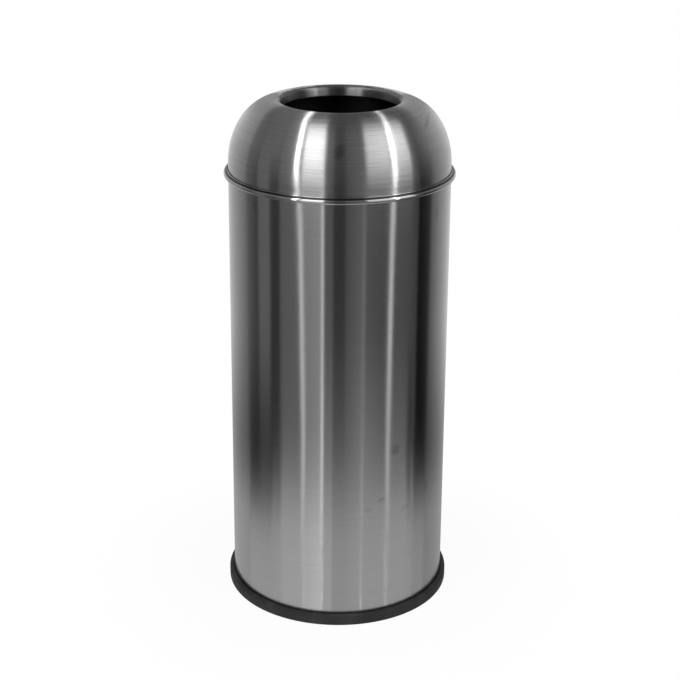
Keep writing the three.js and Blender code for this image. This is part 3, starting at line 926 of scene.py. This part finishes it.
def card(name, first, last, side, top, crown, floor=0.52, low=1.0, reach=REACH, lean=0.0, sink=0.0):
    """A card that shows from first to last degree round the bin.

    Side, top, crown and floor are its brightness in those parts; a pair runs from the first degree to the
    last. Low is the share of the side's brightness near the floor. Lean turns the card further, in degrees,
    where it shows in the dome, and sink lowers the end of the floor part."""
    pairs = [v if isinstance(v, tuple) else (v, v) for v in (floor, side, top, crown)]
    bm = bmesh.new()
    shine = bm.verts.layers.float.new("glow")
    columns = max(2, round((last - first) / COLUMN))
    bmesh.ops.create_grid(bm, x_segments=columns, y_segments=ROWS, size=1)
    for vertex in bm.verts:
        across, along = (vertex.co.x + 1) / 2, (vertex.co.y + 1) / 2 * LENGTH
        floor_now, side_now, top_now, crown_now = (a + (b - a) * across for a, b in pairs)
        low_now = side_now * (low + (1 - low) * between(along, *LOW_TO_SIDE))
        glow = floor_now + (low_now - floor_now) * between(along + sink, *FLOOR_TO_SIDE)
        glow += (top_now - side_now) * between(along, *SIDE_TO_TOP)
        glow += (crown_now - top_now) * between(along, *TOP_TO_CROWN)
        glow += (BEHIND - crown_now) * between(along, *CROWN_TO_BEHIND)
        vertex[shine] = glow
        turn = (first + (last - first) * across) * (1 + DRIFT * between(along, *DRIFTING))
        turn += lean * (0.4 * between(along, 0.45, 0.9) + 0.6 * between(along, 0.9, 1.2))
        vertex.co = mirrored(turn, along, reach)
    mesh = bpy.data.meshes.new(name)
    bm.to_mesh(mesh)
    bm.free()
    mesh.materials.append(card_finish)
    made = bpy.data.objects.new(name, mesh)
    bpy.context.scene.collection.objects.link(made)
    made.visible_camera = made.visible_diffuse = made.visible_shadow = False
    made.visible_transmission = made.visible_volume_scatter = False
    print(f"{name} shows from {first} to {last} degrees")


NEAR = REACH - 0.02  # the strips and lines stand in front of the others

# %% Cards on the left, from the edge inwards
card("back_left", -100, -84, side=0.60, top=0.70, crown=0.34, floor=0.26, low=0.45)
card(
    "sweep_left", -84, -54, side=(0.72, 0.20), top=(0.75, 0.30), crown=0.34, floor=(0.48, 0.44),
    low=0.6, sink=0.03,
)
card(
    "shade_left", -54, -45, side=(0.14, 0.055), top=(0.20, 0.15), crown=(0.20, 0.15), floor=0.50,
    low=0.3, sink=0.06,
)
card("grey_left", -45, -37, side=0.17, top=0.18, crown=0.18, floor=0.50, low=0.3, sink=0.06)
card("shade_left_inner", -37, -31, side=0.045, top=0.19, crown=0.19, sink=0.03)
card("fill_left", -31, -18.8, side=0.15, top=(0.20, 0.34), crown=(0.20, 0.34), floor=0.58)
card("panel_left", -18.8, -9, side=(0.24, 0.34), top=2.0, crown=0.12, floor=(0.64, 0.78))
card("dusk_left", -9, -3, side=0.12, top=0.19, crown=0.1, floor=0.56, low=1.9)

# %% Cards in the middle and on the right, to the edge
card("dark_middle", -3, 3, side=0.045, top=0.09, crown=0.09, floor=0.46, low=2.7)
card(
    "dusk_right", 3, 13.4, side=(0.09, 0.18), top=(0.14, 0.20), crown=0.1, floor=(0.46, 0.52), low=1.55
)
card("panel_right", 13.4, 25.8, side=(0.11, 0.065), top=(1.0, 1.25), crown=0.08, floor=0.50, low=2.3)
card("gap_right", 25.8, 30, side=0.09, top=0.6, crown=0.1, floor=0.50, low=2.1)
card("panel_far_right", 30, 38.4, side=0.10, top=(1.35, 1.15), crown=0.1, floor=0.50, low=1.75)
card(
    "edge_right", 38.4, 41.5, side=0.09, top=(0.30, 0.18), crown=0.15, floor=0.49, low=0.4, sink=0.03
)
card(
    "shade_right", 41.5, 53, side=(0.0, 0.03), top=(0.09, 0.25), crown=(0.09, 0.25), floor=0.42,
    low=0.4, sink=0.04,
)
card(
    "sweep_right", 53, 82, side=(0.12, 0.74), top=(0.26, 0.74), crown=0.34, floor=(0.34, 0.42),
    low=0.55, sink=0.03,
)
card("back_right", 82, 100, side=0.55, top=0.70, crown=0.34, floor=0.26, low=0.5)

# %% Strips and lines of light
card("strip_left", -19.0, -17.2, side=0.95, top=6.0, crown=4.0, floor=0.80, low=0.8, reach=NEAR, lean=-3.9)
card("line_left", -8.9, -7.7, side=0.85, top=2.0, crown=0.2, floor=1.4, low=1.2, reach=NEAR)
card("line_right", 11.9, 12.9, side=0.24, top=0.16, crown=0.1, floor=0.85, low=1.5, reach=NEAR)
card("strip_right", 25.4, 27.2, side=1.0, top=6.0, crown=2.0, floor=0.80, low=0.7, reach=NEAR, lean=2.2)
card("line_far_right", 42.0, 42.9, side=0.16, top=0.18, crown=0.18, floor=0.85, reach=NEAR)

# %% [markdown]
# The lamps are large discs, for soft light. They are hidden from the steel, because it would show them as
# bright spots. All are aimed at the middle of the bin.

# %% Lamps
AIM = Vector((0, 0, 0.35))
LAMPS = {  # place, width in metres and power in watts
    "key": ((-1.6, -1.9, 2.2), 1.6, 42),
    "fill": ((1.9, -1.5, 1.9), 1.6, 30),
    "top": ((0.0, -0.4, 3.0), 2.0, 30),
}
for name, (place, size, power) in LAMPS.items():
    lamp = bpy.data.lights.new(name, "AREA")
    lamp.shape = "DISK"
    lamp.size = size
    lamp.energy = power
    stand = bpy.data.objects.new(name, lamp)
    turned = (AIM - Vector(place)).to_track_quat("-Z", "Y").to_matrix().to_4x4()
    stand.matrix_world = Matrix.Translation(place) @ turned
    bpy.context.scene.collection.objects.link(stand)
    stand.visible_camera = stand.visible_glossy = False
    print(name, "lamp,", power, "W")
